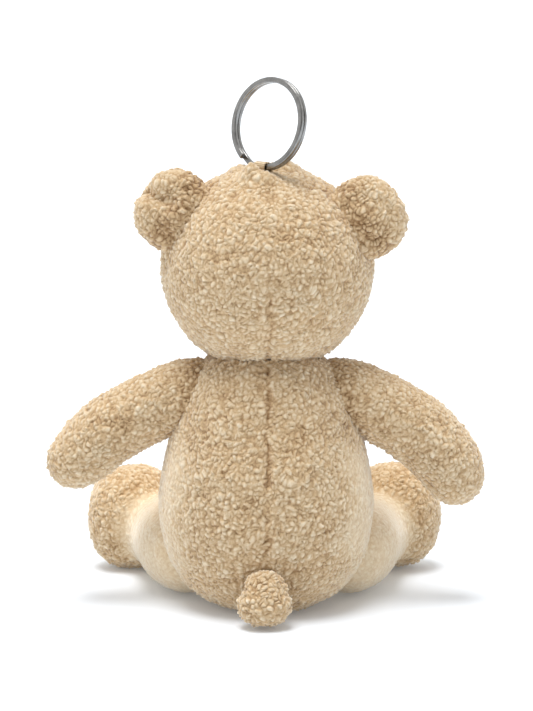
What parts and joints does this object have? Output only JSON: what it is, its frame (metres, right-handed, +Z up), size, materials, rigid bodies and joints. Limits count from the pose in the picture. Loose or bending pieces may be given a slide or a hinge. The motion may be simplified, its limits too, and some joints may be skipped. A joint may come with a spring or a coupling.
{
  "type": "plush keychain",
  "caption": "Small sitting teddy bear in curly beige fleece on a flat-wire split ring, with seams that flex at the head, ears, arms, legs and tail.",
  "frame": {"origin": "middle of the overall box, on the surface that the bear sits on", "axes": "+Z up from the seat to the split ring, the bear faces -Y, its left side is +X"},
  "size_m": [0.1176, 0.0794, 0.1444],
  "materials": {
    "fleece": "curly pile",
    "sole_fleece": "short smooth pile",
    "stuffing": "polyester fibre",
    "ring_steel": "bright",
    "tape": "woven tape",
    "eye_plastic": "gloss",
    "washer_plastic": "matte",
    "nose_thread": "satin-stitched thread"
  },
  "bodies": {
    "torso": {"torso_back_left_panel": "fleece", "torso_back_right_panel": "fleece", "torso_belly_panel": "fleece", "torso_stuffing": "stuffing"},
    "head": {"head_back_left_panel": "fleece", "head_back_right_panel": "fleece", "head_face_panel": "fleece", "head_stuffing": "stuffing", "muzzle_cover": "sole_fleece", "muzzle_stuffing": "stuffing", "nose": "nose_thread", "eye_left": "eye_plastic", "eye_right": "eye_plastic", "eye_washers": "washer_plastic"},
    "ear_left": {"ear_left_back": "fleece", "ear_left_front": "fleece"},
    "ear_right": {"ear_right_back": "fleece", "ear_right_front": "fleece"},
    "arm_left": {"arm_left_back_panel": "fleece", "arm_left_front_panel": "fleece", "arm_left_stuffing": "stuffing"},
    "arm_right": {"arm_right_back_panel": "fleece", "arm_right_front_panel": "fleece", "arm_right_stuffing": "stuffing"},
    "leg_left": {"leg_left_outer_panel": "fleece", "leg_left_inner_panel": "fleece", "foot_left_sole": "sole_fleece", "leg_left_stuffing": "stuffing"},
    "leg_right": {"leg_right_outer_panel": "fleece", "leg_right_inner_panel": "fleece", "foot_right_sole": "sole_fleece", "leg_right_stuffing": "stuffing"},
    "tail": {"tail_top_piece": "fleece", "tail_under_piece": "fleece"},
    "hang_loop": {"hang_loop": "tape"},
    "split_ring": {"split_ring": "ring_steel"}
  },
  "joints": [
    {"name": "head_nod", "type": "hinge", "parent": "torso", "child": "head", "pos_m": [-0.00013, 0.00689, 0.058], "axis": [1, 0, 0], "range_deg": [-12, 12], "stiffness_Nm_per_rad": 0.12},
    {"name": "ear_left_fold", "type": "hinge", "parent": "head", "child": "ear_left", "pos_m": [0.02397, 0.01259, 0.1087], "axis": [-0.5798, 0, 0.8147], "range_deg": [-25, 25], "stiffness_Nm_per_rad": 0.004},
    {"name": "ear_right_fold", "type": "hinge", "parent": "head", "child": "ear_right", "pos_m": [-0.02523, 0.01259, 0.1075], "axis": [-0.5602, 0, -0.8283], "range_deg": [-25, 25], "stiffness_Nm_per_rad": 0.004},
    {"name": "arm_left_lift", "type": "hinge", "parent": "torso", "child": "arm_left", "pos_m": [0.02087, 0.00789, 0.0562], "axis": [0, -1, 0], "range_deg": [0, 65], "stiffness_Nm_per_rad": 0.02},
    {"name": "arm_right_lift", "type": "hinge", "parent": "torso", "child": "arm_right", "pos_m": [-0.02113, 0.00789, 0.0562], "axis": [0, 1, 0], "range_deg": [0, 65], "stiffness_Nm_per_rad": 0.02},
    {"name": "leg_left_lift", "type": "hinge", "parent": "torso", "child": "leg_left", "pos_m": [0.02437, -0.00511, 0.0128], "axis": [-1, 0, 0], "range_deg": [-20, 35], "stiffness_Nm_per_rad": 0.05},
    {"name": "leg_right_lift", "type": "hinge", "parent": "torso", "child": "leg_right", "pos_m": [-0.02463, -0.00511, 0.0128], "axis": [-1, 0, 0], "range_deg": [-20, 35], "stiffness_Nm_per_rad": 0.05},
    {"name": "tail_flex", "type": "hinge", "parent": "torso", "child": "tail", "pos_m": [-0.00013, 0.03249, 0.0124], "axis": [1, 0, 0], "range_deg": [-5, 35], "stiffness_Nm_per_rad": 0.004},
    {"name": "loop_swing", "type": "hinge", "parent": "head", "child": "hang_loop", "pos_m": [0.00149, 0.01217, 0.11859], "axis": [-0.7419, 0.6705, 0], "range_deg": [-20, 65]},
    {"name": "ring_spin", "type": "hinge", "parent": "hang_loop", "child": "split_ring", "pos_m": [-0.00033, 0.01016, 0.13196], "axis": [0.6571, 0.7271, 0.199], "continuous": true}
  ]
}
